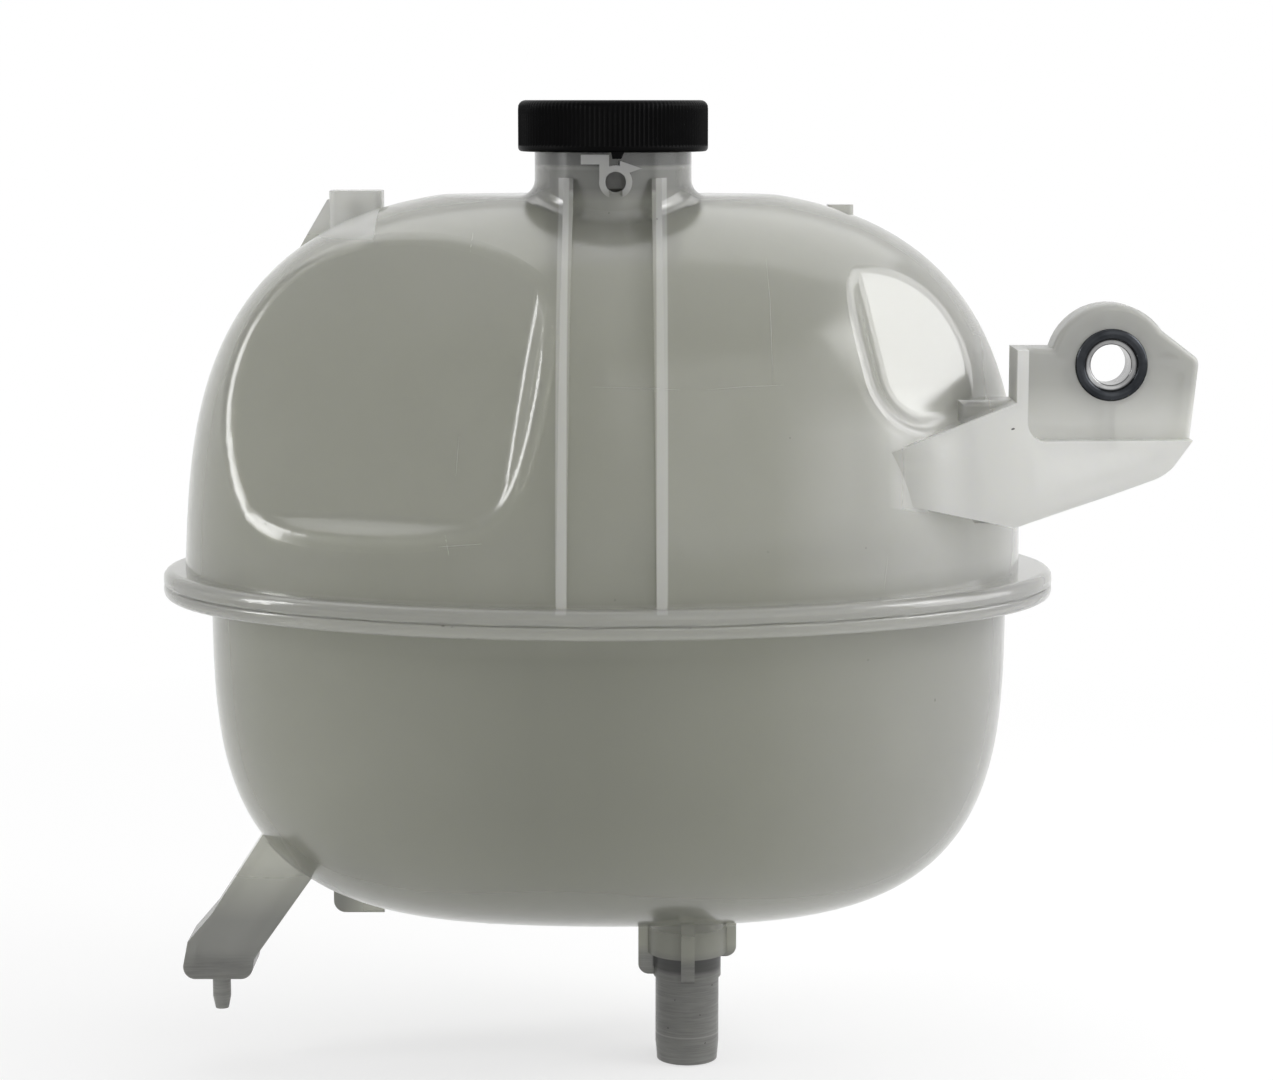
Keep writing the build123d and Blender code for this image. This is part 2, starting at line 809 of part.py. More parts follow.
os.makedirs("parts", exist_ok=True)
for name, piece in pieces.items():
    piece.label = name
    export_step(piece, f"parts/{name}.step")
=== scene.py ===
from math import cos, pi, radians, sin

import bmesh
import bpy
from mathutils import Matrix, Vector
from mathutils.bvhtree import BVHTree


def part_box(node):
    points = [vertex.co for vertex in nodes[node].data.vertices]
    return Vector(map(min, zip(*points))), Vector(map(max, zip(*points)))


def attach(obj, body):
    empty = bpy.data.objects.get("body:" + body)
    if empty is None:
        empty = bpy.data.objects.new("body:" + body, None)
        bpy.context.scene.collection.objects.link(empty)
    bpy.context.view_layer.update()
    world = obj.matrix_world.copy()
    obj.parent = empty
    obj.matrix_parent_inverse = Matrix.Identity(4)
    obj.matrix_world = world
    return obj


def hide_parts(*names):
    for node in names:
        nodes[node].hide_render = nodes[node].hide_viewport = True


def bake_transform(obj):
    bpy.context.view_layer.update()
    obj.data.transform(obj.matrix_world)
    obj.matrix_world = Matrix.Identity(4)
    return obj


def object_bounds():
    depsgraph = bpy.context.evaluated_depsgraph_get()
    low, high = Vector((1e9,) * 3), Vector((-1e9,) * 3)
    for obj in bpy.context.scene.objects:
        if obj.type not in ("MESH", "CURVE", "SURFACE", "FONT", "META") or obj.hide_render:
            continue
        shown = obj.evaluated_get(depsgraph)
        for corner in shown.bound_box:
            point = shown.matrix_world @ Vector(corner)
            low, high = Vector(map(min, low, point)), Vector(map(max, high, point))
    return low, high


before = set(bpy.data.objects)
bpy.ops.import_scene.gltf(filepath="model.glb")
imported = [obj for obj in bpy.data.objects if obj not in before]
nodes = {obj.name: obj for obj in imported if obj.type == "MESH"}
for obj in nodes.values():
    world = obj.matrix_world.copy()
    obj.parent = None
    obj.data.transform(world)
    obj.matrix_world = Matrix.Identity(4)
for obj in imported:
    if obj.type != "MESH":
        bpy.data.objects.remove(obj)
cad_box = [list(corner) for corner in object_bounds()]

# Places in the frame, in metres: the middle of the weld, and the neck's axis at the weld
tank = Vector((-0.154, 0.032, -0.074))
neck = Vector((-0.154, 0.019, -0.074))

# Weld flange: its reach to the left and right of the middle, and to the front and back
flange_left, flange_right, flange_half = 0.1462, 0.1423, 0.094

# Areas of the mouldings that have a colour of their own, or painted light or shade: a pair is where a soft
# edge starts and ends
rib_x, rib_half, rib_soft = 0.0151, 0.0017, 0.0002
rib_low = (tank.z + 0.003, tank.z + 0.004)
rib_top = (0.0570, 0.0572)
rib_back = (neck.y - 0.001, neck.y)
flange_thick, flange_soft, flange_share = 0.0055, 0.0006, 0.42
collar_z = (0.050, 0.054)
vent_face = (-0.0064, -0.0056)  # the neck's front, which the vent's fittings stand out from
neck_line = 0.0609  # where the shade under the cap ends on the neck
neck_edge = (neck_line - 0.0002, neck_line + 0.0003)
neck_glint, glint_half, glint_soft = neck_line - 0.0008, 0.0005, 0.0003
crown_light_z = (0.005, 0.050)  # painted light: the dome gets paler towards its top
# painted shade over the bowl's middle, below the weld
bowl_z = (tank.z - 0.012, tank.z - 0.004)
bowl_middle, bowl_half, bowl_soft = -0.168, 0.055, 0.045
leg_z = (-0.186, -0.166)
leg_x = (-0.246, -0.236)  # where the bowl's left side turns into the leg
arm_x = (-0.108, -0.030)  # where the dome's right side turns into the solid arm
plate_x = (-0.040, -0.028)  # where the arm stands clear of the dome
plate_z = (-0.032, 0.012)  # the arm's plate gets greyer upwards
foot_slope, foot_z = 0.196, (-0.0558, -0.0552)  # line of the arm's lowest edge, seen from the front
ridge_slope, ridge_y = 0.21, -0.0157  # line of the ridge's front in plan
ridge_back = (0.001, 0.003)
ridge_x = (-0.070, -0.052)
panel_y = (-0.0160, -0.0150)  # just in front of the arm's panel
side_x = (-0.105, -0.055)  # painted light where the dome turns to its right side, below the ridge in the arm's shade
side_middle, side_half, side_soft = -0.040, 0.028, 0.006
inlet_x = (-0.2290, -0.2285)
inlet_z = (0.037, 0.040)
foot_of_bowl = (-0.191, -0.189)
spout_z = (-0.200, -0.196)
spout_x = -0.1298
streaks_per_metre = (90.0, 90.0, 1800.0)
spout_line, line_half, line_soft = -0.2257, 0.0002, 0.00015  # painted highlight: a faint pale ring near the outlet's end
collar_shade_z, collar_shade_half, collar_shade_soft = -0.2012, 0.0026, 0.0008  # painted shade: a dark ring under the outlet's collar
collar_shade_reach, collar_shade_strength = (0.0115, 0.0118), 0.85

# Colours of the natural plastic, with painted light and shade among them
thin_grey = (0.46, 0.465, 0.405)
thin_pale = (0.51, 0.515, 0.455)
rib_white = (0.78, 0.782, 0.755)
# painted shade for the bowl's middle
bowl_shade_grey = (0.385, 0.39, 0.335)
arm_white = (0.53, 0.532, 0.505)
plate_pale = (0.56, 0.562, 0.535)
plate_grey = (0.47, 0.472, 0.448)
# painted light at the dome's crown
crown_light_pale = (0.545, 0.55, 0.50)
inlet_white = (0.70, 0.702, 0.675)
# painted light on the dome's right side under the arm
side_lit_white = (0.72, 0.722, 0.69)
# painted light on the ridge along the arm's front, which also counts as thick moulding
ridge_lit_white = (0.86, 0.862, 0.835)
leg_grey = (0.305, 0.307, 0.288)
neck_grey = (0.34, 0.342, 0.318)
neck_shade = (0.19, 0.192, 0.18)
neck_pale = (0.41, 0.412, 0.385)
# painted shade under the outlet's collar
collar_shade_dark = (0.05, 0.05, 0.048)
spout_glint_ring = (0.40, 0.40, 0.385)
spout_dark = (0.20, 0.20, 0.19)
spout_pale = (0.30, 0.30, 0.285)

# How clear and how dull the natural plastic is, where it is thin and where it is thick
thin_clear, thick_clear = 0.70, 0.50
thin_polish, thick_dull = (0.15, 0.22), 0.35


# Material helpers
def material(name):
    mat = bpy.data.materials.new(name)
    mat.use_nodes = True
    tree = mat.node_tree
    tree.nodes.clear()
    out = tree.nodes.new("ShaderNodeOutputMaterial")
    shader = tree.nodes.new("ShaderNodeBsdfPrincipled")
    tree.links.new(shader.outputs["BSDF"], out.inputs["Surface"])
    return mat, tree, shader


def node(tree, kind, **values):
    made = tree.nodes.new(kind)
    for key, value in values.items():
        setattr(made, key, value)
    return made


def object_coords(tree):
    return node(tree, "ShaderNodeTexCoord").outputs["Object"]


def axes(tree, place):
    split = node(tree, "ShaderNodeSeparateXYZ")
    tree.links.new(place, split.inputs[0])
    return split.outputs


def noise(tree, place, scale, detail, rough):
    made = node(tree, "ShaderNodeTexNoise")
    made.inputs["Scale"].default_value = scale
    made.inputs["Detail"].default_value = detail
    made.inputs["Roughness"].default_value = rough
    tree.links.new(place, made.inputs["Vector"])
    return made.outputs["Fac"]


def cloud_colour(tree, source, low, high, start=0.3, end=0.7):
    """Colour that runs from one to another with a noise."""
    made = node(tree, "ShaderNodeValToRGB")
    for element, stop, colour in zip(made.color_ramp.elements, (start, end), (low, high)):
        element.position = stop
        element.color = (*colour, 1.0)
    tree.links.new(source, made.inputs["Fac"])
    return made.outputs["Color"]


def spread(tree, source, low, high, start=0.0, end=1.0):
    made = node(tree, "ShaderNodeMapRange")
    made.inputs["From Min"].default_value = start
    made.inputs["From Max"].default_value = end
    made.inputs["To Min"].default_value = low
    made.inputs["To Max"].default_value = high
    tree.links.new(source, made.inputs["Value"])
    return made.outputs["Result"]


def rise(tree, source, edge):
    """Share that grows from zero to one over a soft edge."""
    return spread(tree, source, 0.0, 1.0, *edge)


def fall(tree, source, edge):
    """Share that shrinks from one to zero over a soft edge."""
    return spread(tree, source, 1.0, 0.0, *edge)


def math(tree, operation, first, second=None):
    made = node(tree, "ShaderNodeMath", operation=operation)
    for socket, value in zip(made.inputs, (first, second)):
        if isinstance(value, (int, float)):
            socket.default_value = value
        elif value is not None:
            tree.links.new(value, socket)
    return made.outputs["Value"]


def chain(tree, operation, *values):
    total = values[0]
    for value in values[1:]:
        total = math(tree, operation, total, value)
    return total


def band(tree, source, middle, half, soft):
    """Share of one inside a band round a value, falling to zero over a soft edge."""
    away = math(tree, "ABSOLUTE", math(tree, "SUBTRACT", source, middle))
    return fall(tree, away, (half - soft, half + soft))


def blend(tree, share, low, high):
    """Colour between two others, each a socket or a plain colour."""
    made = node(tree, "ShaderNodeMix", data_type="RGBA")
    tree.links.new(share, made.inputs[0])
    for socket, value in ((made.inputs[6], low), (made.inputs[7], high)):
        if isinstance(value, tuple):
            socket.default_value = (*value, 1.0)
        else:
            tree.links.new(value, socket)
    return made.outputs[2]


def bump(tree, shader, height, strength, distance):
    made = node(tree, "ShaderNodeBump")
    made.inputs["Strength"].default_value = strength
    made.inputs["Distance"].default_value = distance
    tree.links.new(height, made.inputs["Height"])
    tree.links.new(made.outputs["Normal"], shader.inputs["Normal"])


def seen_rays(tree):
    """Share of one for rays that look at the background: from the camera, a gloss or a clear wall."""
    path = node(tree, "ShaderNodeLightPath")
    names = ("Is Camera Ray", "Is Glossy Ray", "Is Transmission Ray")
    return chain(tree, "MAXIMUM", *(path.outputs[name] for name in names))


# Colours of the parts of the mouldings
def hollow_colour(tree, place, x, z):
    """Thin wall over the hollow: cloudy, with painted shade in the bowl's middle and painted light at the
    crown.
    """
    thin = cloud_colour(tree, noise(tree, place, scale=14.0, detail=4.0, rough=0.55), thin_grey, thin_pale)
    middle = band(tree, x, bowl_middle, bowl_half, bowl_soft)
    bowl = chain(tree, "MULTIPLY", fall(tree, z, bowl_z), middle)
    return blend(tree, rise(tree, z, crown_light_z), blend(tree, bowl, thin, bowl_shade_grey), crown_light_pale)


def neck_colour(tree, z):
    """Neck with the cap's shade on it and a pale line along the shade."""
    shaded = blend(tree, rise(tree, z, neck_edge), neck_grey, neck_shade)
    return blend(tree, band(tree, z, neck_glint, glint_half, glint_soft), shaded, neck_pale)


def pale_share(tree, x, y, z):
    """Share of the ribs, the weld flange and the vent's fittings, which are pale all through."""
    from_neck = math(tree, "ABSOLUTE", math(tree, "SUBTRACT", x, neck.x))
    on_front = fall(tree, y, rib_back)
    between = chain(tree, "MULTIPLY", rise(tree, z, rib_low), fall(tree, z, rib_top))
    line = band(tree, from_neck, rib_x, rib_half, rib_soft)
    rib = chain(tree, "MULTIPLY", line, on_front, between)
    flange = math(tree, "MULTIPLY", band(tree, z, tank.z, flange_thick, flange_soft), flange_share)
    fittings = chain(tree, "MULTIPLY", rise(tree, z, collar_z), fall(tree, y, vent_face))
    return chain(tree, "MAXIMUM", rib, flange, fittings)


def arm_shares(tree, x, y, z):
    """Shares of the arm where it stands clear of the dome, and of the ridge along its front."""
    over_line = math(tree, "ADD", z, math(tree, "MULTIPLY", x, foot_slope))
    above_foot = rise(tree, over_line, foot_z)
    clear = chain(tree, "MULTIPLY", above_foot, rise(tree, x, plate_x))
    front = math(tree, "ADD", math(tree, "MULTIPLY", x, ridge_slope), ridge_y)
    before = fall(tree, math(tree, "SUBTRACT", y, front), ridge_back)
    ridge = chain(tree, "MULTIPLY", before, rise(tree, x, ridge_x), fall(tree, y, panel_y), above_foot)
    return clear, ridge


def spout_colour(tree, place, z):
    """Outlet with fine streaks round it and one faint ring of painted highlight."""
    mapping = node(tree, "ShaderNodeMapping")
    mapping.inputs["Scale"].default_value = streaks_per_metre
    tree.links.new(place, mapping.inputs["Vector"])
    streaks = noise(tree, mapping.outputs[0], scale=1.0, detail=4.0, rough=0.65)
    streak = cloud_colour(tree, streaks, spout_dark, spout_pale, start=0.35, end=0.65)
    return blend(tree, band(tree, z, spout_line, line_half, line_soft), streak, spout_glint_ring)


def collar_shade_amount(tree, x, y, z):
    """Share of the painted shade ring under the collar, on the outlet's own wall and not on the gussets."""
    level = node(tree, "ShaderNodeCombineXYZ")
    tree.links.new(x, level.inputs[0])
    tree.links.new(y, level.inputs[1])
    across = node(tree, "ShaderNodeVectorMath", operation="DISTANCE")
    tree.links.new(level.outputs[0], across.inputs[0])
    across.inputs[1].default_value = (spout_x, tank.y, 0.0)
    near = spread(tree, across.outputs["Value"], collar_shade_strength, 0.0, *collar_shade_reach)
    return chain(tree, "MULTIPLY", band(tree, z, collar_shade_z, collar_shade_half, collar_shade_soft), near)


# Natural polypropylene: milky and grey where the wall is thin, whiter where the moulding is thick, with
# painted light and shade on some areas
def polypropylene():
    mat, tree, shader = material("natural_polypropylene")
    place = object_coords(tree)
    x, y, z = axes(tree, place)
    leg = chain(tree, "MULTIPLY", fall(tree, z, leg_z), fall(tree, x, leg_x))
    inlet = chain(tree, "MULTIPLY", fall(tree, x, inlet_x), rise(tree, z, inlet_z))
    side_light_height = band(tree, z, side_middle, side_half, side_soft)
    side = chain(tree, "MULTIPLY", rise(tree, x, side_x), side_light_height)
    clear, ridge = arm_shares(tree, x, y, z)
    plate = blend(tree, rise(tree, z, plate_z), plate_pale, plate_grey)
    colour = hollow_colour(tree, place, x, z)
    for share, over in (
        (rise(tree, z, collar_z), neck_colour(tree, z)),
        (leg, leg_grey),
        (rise(tree, x, arm_x), arm_white),
        (clear, plate),
        (inlet, inlet_white),
        # painted light on the dome's right side under the arm
        (side, side_lit_white),
        # painted light on the ridge
        (ridge, ridge_lit_white),
        (pale_share(tree, x, y, z), rib_white),
        (fall(tree, z, spout_z), spout_colour(tree, place, z)),
        (collar_shade_amount(tree, x, y, z), collar_shade_dark),
    ):
        colour = blend(tree, share, colour, over)
    tree.links.new(colour, shader.inputs["Base Color"])
    thick = chain(tree, "MAXIMUM", clear, inlet, ridge, leg, fall(tree, z, foot_of_bowl))
    tree.links.new(spread(tree, thick, thin_clear, thick_clear), shader.inputs["Transmission Weight"])
    polish = spread(tree, noise(tree, place, scale=60.0, detail=3.0, rough=0.5), *thin_polish)
    milky = math(tree, "ADD", polish, spread(tree, thick, 0.0, thick_dull))
    tree.links.new(milky, shader.inputs["Roughness"])
    shader.inputs["IOR"].default_value = 1.49
    shader.inputs["Specular IOR Level"].default_value = 0.3
    shader.inputs["Coat Weight"].default_value = 0.35
    shader.inputs["Coat Roughness"].default_value = 0.12
    shader.inputs["Subsurface Weight"].default_value = 0.3
    shader.inputs["Subsurface Radius"].default_value = (0.010, 0.010, 0.008)
    shader.inputs["Subsurface Scale"].default_value = 1.0
    bump(tree, shader, noise(tree, place, scale=45.0, detail=2.0, rough=0.4), strength=0.05, distance=0.001)
    return mat


# Moulded plastics and rubber, with a fine grain
def plastic(name, low, high, rough, scale, gloss=0.5):
    mat, tree, shader = material(name)
    place = object_coords(tree)
    colour = cloud_colour(tree, noise(tree, place, scale=scale, detail=5.0, rough=0.6), low, high)
    polish = spread(tree, noise(tree, place, scale=scale * 3, detail=4.0, rough=0.6), *rough)
    tree.links.new(colour, shader.inputs["Base Color"])
    tree.links.new(polish, shader.inputs["Roughness"])
    shader.inputs["Specular IOR Level"].default_value = gloss
    bump(tree, shader, noise(tree, place, scale=900.0, detail=2.0, rough=0.5), strength=0.15, distance=0.0002)
    return mat


# Metals, whose colour another function makes from a noise
def metal(name, rough, colour_of):
    mat, tree, shader = material(name)
    place = object_coords(tree)
    colour = colour_of(tree, place, noise(tree, place, scale=120.0, detail=5.0, rough=0.6))
    polish = spread(tree, noise(tree, place, scale=300.0, detail=4.0, rough=0.6), *rough)
    tree.links.new(colour, shader.inputs["Base Color"])
    tree.links.new(polish, shader.inputs["Roughness"])
    shader.inputs["Metallic"].default_value = 1.0
    bump(tree, shader, noise(tree, place, scale=700.0, detail=3.0, rough=0.5), strength=0.1, distance=0.0001)
    return mat


def plain_metal(name, low, high, rough):
    return metal(name, rough, lambda tree, place, cloud: cloud_colour(tree, cloud, low, high))


bush_mouth = (0.0073, 0.0079)  # radius where the bush's bright bore turns into its dark face
face_dark, face_pale = (0.018, 0.020, 0.023), (0.05, 0.053, 0.058)
bore_dark, bore_pale = (0.24, 0.24, 0.24), (0.38, 0.38, 0.38)


def bush_colour(tree, place, cloud):
    """Dark steel face, bright inside the bore, whose axis is the frame's y axis."""
    x, _, z = axes(tree, place)
    squares = (math(tree, "MULTIPLY", way, way) for way in (x, z))
    across = math(tree, "SQRT", chain(tree, "ADD", *squares))
    bore = cloud_colour(tree, cloud, bore_dark, bore_pale)
    face = cloud_colour(tree, cloud, face_dark, face_pale)
    return blend(tree, rise(tree, across, bush_mouth), bore, face)


natural = polypropylene()
cap_low_black, cap_high_black = (0.0010, 0.0010, 0.0011), (0.0022, 0.0022, 0.0024)
cap_black = plastic("cap_plastic", cap_low_black, cap_high_black, (0.34, 0.44), 90.0, 0.035)
insert_grey = plastic("insert_plastic", (0.16, 0.16, 0.155), (0.21, 0.21, 0.205), (0.38, 0.5), 90.0)
rubber = plastic("seal_rubber", (0.012, 0.012, 0.012), (0.022, 0.022, 0.022), (0.55, 0.7), 140.0)
bush_steel = metal("bush_steel", (0.16, 0.28), bush_colour)
valve_steel = plain_metal("valve_steel", (0.52, 0.52, 0.52), (0.64, 0.64, 0.63), (0.25, 0.4))
spring_steel = plain_metal("spring_steel", (0.42, 0.42, 0.44), (0.55, 0.55, 0.57), (0.2, 0.35))
brass = plain_metal("valve_brass", (0.66, 0.48, 0.20), (0.78, 0.60, 0.28), (0.2, 0.35))
dirt = plastic("dirt", (0.012, 0.011, 0.010), (0.04, 0.036, 0.03), (0.6, 0.8), 900.0)
# Pale raised strips: real scratches, and lines of painted reflection
worn_and_reflection = plastic("scratches_and_painted_reflection", (0.27, 0.27, 0.255), (0.32, 0.32, 0.305), (0.45, 0.6), 700.0)

finishes = {
    "upper_shell": natural,
    "lower_shell": natural,
    "arm_bush": bush_steel,
    "cap_shell": cap_black,
    "cap_insert": insert_grey,
    "neck_gasket": rubber,
    "insert_o_ring": rubber,
    "valve_seal": rubber,
    "pressure_valve": valve_steel,
    "spring_retainer": insert_grey,
    "pressure_spring": spring_steel,
    "vacuum_valve": brass,
    "vacuum_clip": spring_steel,
    "vacuum_spring": spring_steel,
}
for name, finish in finishes.items():
    nodes[name].data.materials.clear()
    nodes[name].data.materials.append(finish)


# New pieces
def piece(name, work, finish, body, smooth=True):
    mesh = bpy.data.meshes.new(name)
    bmesh.ops.recalc_face_normals(work, faces=work.faces)
    work.to_mesh(mesh)
    work.free()
    mesh.materials.append(finish)
    for face in mesh.polygons:
        face.use_smooth = smooth
    made = bpy.data.objects.new(name, mesh)
    bpy.context.scene.collection.objects.link(made)
    if body:
        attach(made, body)
    return made


def full_turn(count):
    return [2 * pi * i / count for i in range(count)]


def neck_ring(work, turns, radius, z):
    """Vertices round the neck's axis."""
    return [work.verts.new((neck.x + radius * cos(a), neck.y + radius * sin(a), z)) for a in turns]


def ring_grid(work, rings, closed_profile=False, capped=False):
    """Faces between rings of vertices, each ring closed on itself, and over the ends if they are capped."""
    count = len(rings[0])
    pairs = list(zip(rings, rings[1:]))
    if closed_profile:
        pairs.append((rings[-1], rings[0]))
    for low, high in pairs:
        for i in range(count):
            j = (i + 1) % count
            work.faces.new((low[i], low[j], high[j], high[i]))
    if capped:
        work.faces.new(rings[0])
        work.faces.new(rings[-1])


# Screw cap with its fine serrated edge, on the cap shell's own sizes
cap_low, cap_top = 0.065, 0.081
cap_radius, cap_bore, crown_under = 0.030, 0.027, 0.078
edge_round, crown_round = 0.0012, 0.0024
serrations, serration_depth = 126, 0.00042
serration_shape = (0.0, 0.55, 1.0, 0.55)
serration_levels = ((0.0666, 0.0), (0.0672, 1.0), (0.0720, 1.0), (0.0768, 1.0), (0.0782, 0.85))
crown_serration = 0.7  # share of the depth where the crown's round starts
crown_groove = (  # radius, and depth under the top
    (0.0262, 0.0),
    (0.0258, 0.0002),
    (0.0254, 0.0005),
    (0.0242, 0.0005),
    (0.0238, 0.0002),
    (0.0232, 0.0001),
    (0.0120, 0.0003),
    (0.0020, 0.0003),
)
bead_radius, bead_low, bead_high = 0.0255, 0.0743, 0.0754  # the bead that the insert hangs on
crown_middle = 0.001  # radius of the flat middle under the crown
lug_foot, lug_tip = cap_low + 0.0006, cap_low - 0.0019
lug_outline = ((-0.0005, lug_foot), (0.0, lug_tip), (0.0027, lug_tip), (0.0039, lug_foot))
lug_inset = 0.0006
smooth_above = 0.2  # faces that lean at least this much upwards or downwards are shaded smooth


def cap_profile():
    """Radius, height and share of the serrations' depth, from the lower edge to the middle of the top."""
    profile = []
    edge_steps, crown_steps = 4, 5
    for k in range(edge_steps + 1):
        a = radians(90.0 * k / edge_steps)
        profile.append((cap_radius - edge_round * (1 - sin(a)), cap_low + edge_round * (1 - cos(a)), 0.0))
    profile += [(cap_radius, z, depth) for z, depth in serration_levels]
    for k in range(1, crown_steps + 1):
        a = radians(90.0 * k / crown_steps)
        depth = crown_serration * (1 - k / crown_steps)
        profile.append((cap_radius - crown_round * (1 - cos(a)), cap_top - crown_round * (1 - sin(a)), depth))
    profile += [(r, cap_top - sunk, 0.0) for r, sunk in crown_groove]
    return profile


def cap_piece():
    work = bmesh.new()
    turns = full_turn(serrations * len(serration_shape))
    rings = []
    for r, z, depth in cap_profile():
        ring = []
        for i, a in enumerate(turns):
            cut = serration_shape[i % len(serration_shape)] * depth * serration_depth
            ring.append(work.verts.new((neck.x + (r - cut) * cos(a), neck.y + (r - cut) * sin(a), z)))
        rings.append(ring)
    ring_grid(work, rings)
    work.faces.new(rings[-1])
    inside = (
        (cap_bore, cap_low),
        (cap_bore, bead_low),
        (bead_radius, bead_low),
        (bead_radius, bead_high),
        (cap_bore, bead_high),
        (cap_bore, crown_under),
        (crown_middle, crown_under),
    )
    inner = [rings[0]] + [neck_ring(work, turns, r, z) for r, z in inside]
    ring_grid(work, inner)
    work.faces.new(inner[-1])
    lug = []
    for y in (neck.y - cap_bore, neck.y - cap_radius + lug_inset):
        lug.append([work.verts.new((neck.x + x, y, z)) for x, z in lug_outline])
    ring_grid(work, lug, capped=True)
    made = piece("cap_serrated", work, cap_black, "cap", smooth=False)
    for face in made.data.polygons:
        face.use_smooth = abs(face.normal.z) > smooth_above
    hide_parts("cap_shell")
    return made


# Flanged bush with a rounded face and a flared mouth, on the arm bush's own sizes
bush_bore, bush_body, bush_flange = 0.00625, 0.0090, 0.0112
bush_under, bush_face = -0.0130, -0.0146  # where the flange starts and ends, along y
bush_edge = 0.00015
bead_middle, bead_height = 0.0096, 0.00105  # the face is one round bead
flare_middle = 0.00715  # between the bead's inner side and the bore
flare_out, flare_in = 0.0007, 0.00075
bush_sides = 96


def arc(middle, reach, first, last, steps):
    """Points on an ellipse in the bush's section, each a radius and a place along y."""
    points = []
    for k in range(steps + 1):
        a = radians(first + (last - first) * k / steps)
        points.append((middle[0] + reach[0] * cos(a), middle[1] + reach[1] * sin(a)))
    return points


def bush_piece():
    bead_y = bush_face + bead_height
    bead_reach = bush_flange - bead_middle
    bead_inside = bead_middle - bead_reach
    flare_y = bead_y + flare_out + flare_in
    profile = [
        (bush_bore, -bush_edge),
        (bush_bore + bush_edge, 0.0),
        (bush_body - bush_edge, 0.0),
        (bush_body, -bush_edge),
        (bush_body, bush_under),
    ]
    rim = (bush_flange - bush_edge, bush_under - bush_edge)
    profile += arc(rim, (bush_edge, bush_edge), 90.0, 0.0, 3)
    profile += arc((bead_middle, bead_y), (bead_reach, bead_height), 0.0, -180.0, 16)
    profile += arc((flare_middle, bead_y), (bead_inside - flare_middle, flare_out), 0.0, 90.0, 6)[1:]
    profile += arc((flare_middle, flare_y), (flare_middle - bush_bore, flare_in), -90.0, -180.0, 6)[1:]
    profile.append((bush_bore, bush_under / 2))
    work = bmesh.new()
    turns = full_turn(bush_sides)
    rings = [[work.verts.new((r * cos(a), y, r * sin(a))) for a in turns] for r, y in profile]
    ring_grid(work, rings, closed_profile=True)
    made = piece("bush_flared", work, bush_steel, "tank")
    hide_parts("arm_bush")
    return made


# Coil springs, each drawn over the height of the spring piece that it replaces
steps_per_coil, wire_sides = 48, 10


def coil(name, replaced, radius, wire, turns):
    low, high = (corner[2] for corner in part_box(replaced))
    work = bmesh.new()
    steps = int(turns * steps_per_coil)
    rows = []
    for k in range(steps + 1):
        a = 2 * pi * turns * k / steps
        out = Vector((cos(a), sin(a), 0))
        middle = Vector((neck.x, neck.y, low + wire + (high - low - 2 * wire) * k / steps)) + out * radius
        row = []
        for turn in full_turn(wire_sides):
            row.append(work.verts.new(middle + out * wire * cos(turn) + Vector((0, 0, wire * sin(turn)))))
        rows.append(row)
    ring_grid(work, rows, capped=True)
    made = piece(name, work, spring_steel, None)
    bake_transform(made)
    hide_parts(replaced)
    return made


# Helical threads of the neck and the cap
thread_pitch, thread_turns, thread_start = 0.004, 1.3, 0.0670
thread_root, thread_crest = 0.0009, 0.0005  # half the thread's height at its root and at its crest
thread_fade, thread_end = 0.08, 0.04  # share of the length that tapers, and how much is left at the end
steps_per_thread = 72
cap_phase = 0.15  # the cap's thread runs between the neck's, as a share of the pitch


def thread(name, body, finish, base, crest, start_z):
    work = bmesh.new()
    steps = int(thread_turns * steps_per_thread)
    rows = []
    for k in range(steps + 1):
        share = k / steps
        fade = max(thread_end, min(1.0, share / thread_fade, (1 - share) / thread_fade))
        a = 2 * pi * thread_turns * share
        z = start_z + thread_pitch * thread_turns * share
        tip = base + (crest - base) * fade
        section = ((base, -thread_root), (tip, -thread_crest), (tip, thread_crest), (base, thread_root))
        rows.append([work.verts.new((neck.x + r * cos(a), neck.y + r * sin(a), z + dz)) for r, dz in section])
    ring_grid(work, rows, capped=True)
    return piece(name, work, finish, body, smooth=False)


# Weld flash between the two flanges
flash_inset, flash_points, flash_sides = 0.0011, 720, 8
flash_radius, flash_swell, flash_lift, flash_flat = 0.00045, 0.00035, 0.00018, 0.9


def flange_outline():
    """Points just inside the oval flange's edge, with their outward directions."""
    half_width = (flange_left + flange_right) / 2
    middle = (flange_right - flange_left) / 2
    points = []
    for a in full_turn(flash_points):
        out = Vector((cos(a) / half_width, sin(a) / flange_half, 0)).normalized()
        place = Vector((middle + half_width * cos(a), flange_half * sin(a), 0))
        points.append((tank + place - out * flash_inset, out))
    return points


def weld_flash():
    work = bmesh.new()
    rings = []
    for i, (place, out) in enumerate(flange_outline()):
        wave = 0.5 + 0.5 * sin(i * 0.37 + 2.0 * sin(i * 0.071)) * sin(i * 0.113 + 1.0)
        radius = flash_radius + flash_swell * wave
        lift = flash_lift * sin(i * 0.23 + sin(i * 0.05))
        ring = []
        for a in full_turn(flash_sides):
            up = Vector((0, 0, lift + radius * flash_flat * sin(a)))
            ring.append(work.verts.new(place + out * radius * cos(a) + up))
        rings.append(ring)
    ring_grid(work, rings, closed_profile=True)
    return piece("weld_flash", work, natural, "tank")


